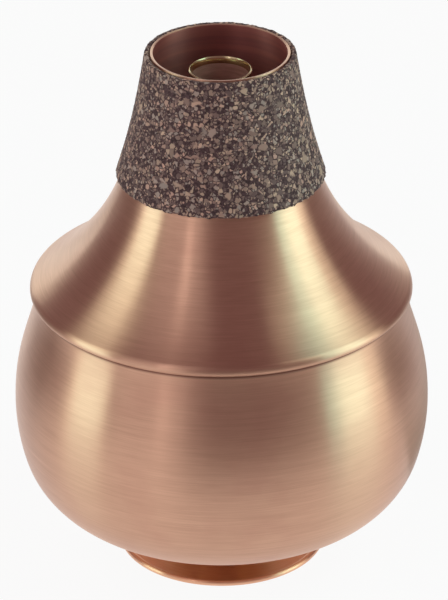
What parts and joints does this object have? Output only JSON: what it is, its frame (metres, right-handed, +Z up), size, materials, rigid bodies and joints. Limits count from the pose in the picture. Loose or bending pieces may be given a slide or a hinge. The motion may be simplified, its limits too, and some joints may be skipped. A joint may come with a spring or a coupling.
{
  "type": "wah-wah mute",
  "caption": "Wah-wah mute for a trumpet: a hollow spun copper bulb with a cork-covered conical neck, and a brass stem with a bell-shaped copper cup that slides in a socket in its base.",
  "frame": {"origin": "on the mute's axis, in the plane of the stem cup's rim, on which the mute stands", "axes": "+Z up the axis from the cup to the mouth of the neck; +X and +Y are free, because every piece is turned"},
  "size_m": [0.099, 0.099, 0.129],
  "materials": {
    "body_copper": "brushed spun copper, satin lacquer",
    "brass": "drawn yellow brass, lightly polished",
    "composite_cork": "pressed cork granules in a dark binder, sanded",
    "natural_cork": "natural cork, sanded"
  },
  "bodies": {
    "body": {"upper_shell": "body_copper", "lower_bowl": "body_copper", "neck_cork": "composite_cork", "stem_socket": "brass", "socket_lining": "natural_cork"},
    "stem": {"stem_tube": "brass", "stem_cup": "body_copper"}
  },
  "joints": [
    {"name": "stem_slide", "type": "slide", "parent": "stem", "child": "body", "axis": [0, 0, 1], "range_m": [0, 0.1145]}
  ]
}
